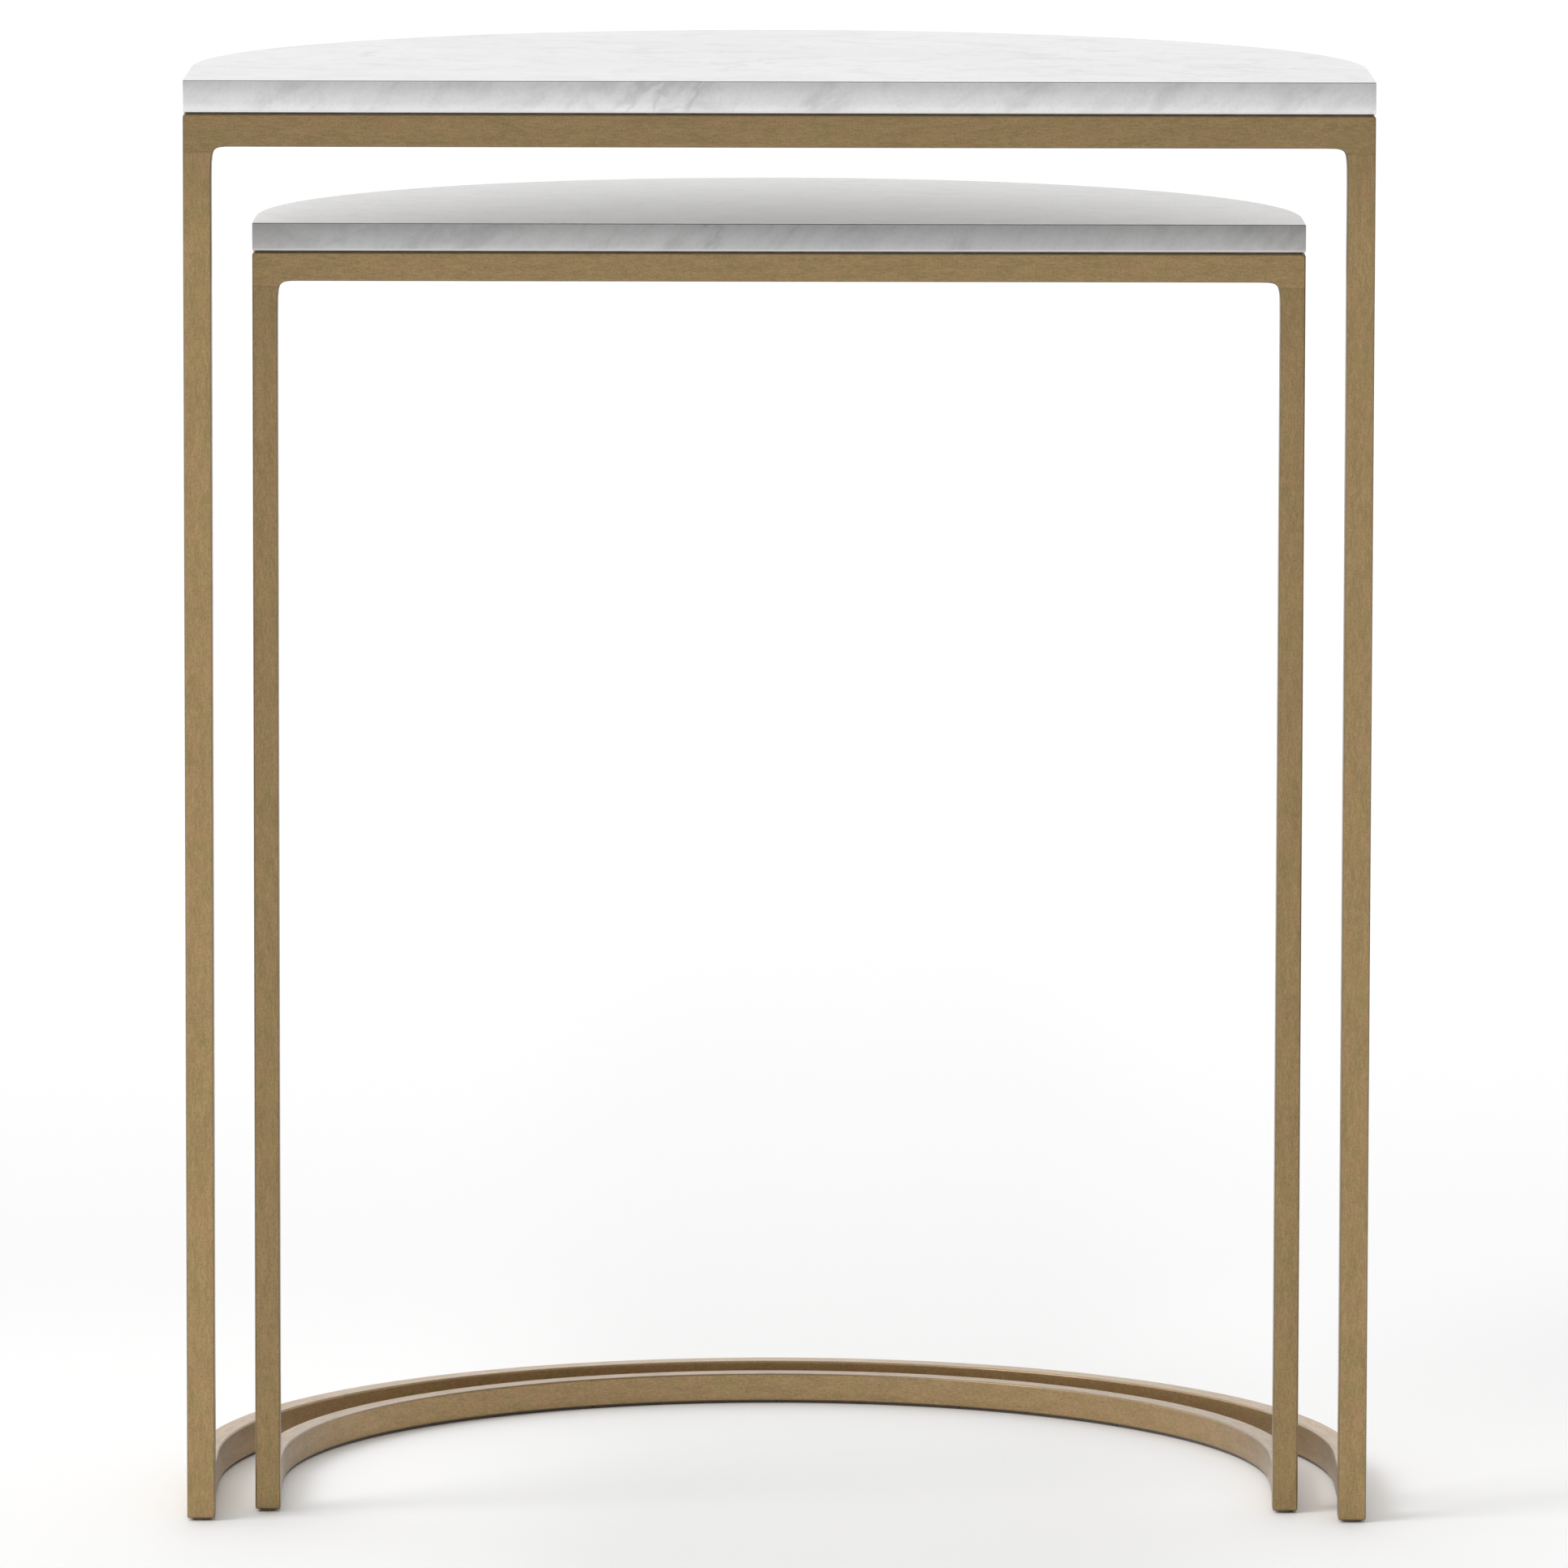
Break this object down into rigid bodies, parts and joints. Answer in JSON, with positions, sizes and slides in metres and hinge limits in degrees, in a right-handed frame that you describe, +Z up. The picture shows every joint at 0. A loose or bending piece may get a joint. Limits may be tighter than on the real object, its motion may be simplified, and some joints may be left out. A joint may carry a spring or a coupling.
{
  "type": "nesting tables",
  "caption": "Half-moon nesting side tables with marble slab tops, on slim brass-finished tube frames with two front legs and a curved base ring open at the front.",
  "frame": {"origin": "on the floor, under the middle of the bounding box of the nested pair", "axes": "+Z up, +X to the right of someone facing the straight front edges, +Y to the back, where the round edges are"},
  "size_m": [0.56, 0.378, 0.685],
  "materials": {
    "marble": "honed white marble with soft grey veins",
    "brass_frame": "brushed antique-brass plating on welded steel tube",
    "zinc_screw": "zinc-plated steel",
    "brass_insert": "plain turned brass",
    "dark_pad": "dark grey-brown silicone",
    "brown_glide": "matt dark brown nylon",
    "brown_felt": "pressed dark brown felt"
  },
  "bodies": {
    "large_table": {"large_marble_top": "marble", "large_front_rail": "brass_frame", "large_leg_left": "brass_frame", "large_leg_right": "brass_frame", "large_rear_rail": "brass_frame", "large_base_ring": "brass_frame", "large_fixing_tabs": "brass_frame", "large_top_screws": "zinc_screw", "large_threaded_inserts": "brass_insert", "large_top_pads": "dark_pad", "large_leg_glides": "brown_glide", "large_felt_strips": "brown_felt"},
    "small_table": {"small_marble_top": "marble", "small_front_rail": "brass_frame", "small_leg_left": "brass_frame", "small_leg_right": "brass_frame", "small_rear_rail": "brass_frame", "small_base_ring": "brass_frame", "small_fixing_tabs": "brass_frame", "small_top_screws": "zinc_screw", "small_threaded_inserts": "brass_insert", "small_top_pads": "dark_pad", "small_leg_glides": "brown_glide", "small_felt_strips": "brown_felt"}
  },
  "joints": [
    {"name": "small_table_slide", "type": "slide", "parent": "large_table", "child": "small_table", "axis": [0, -1, 0], "range_m": [-0.014, 0.38]}
  ]
}
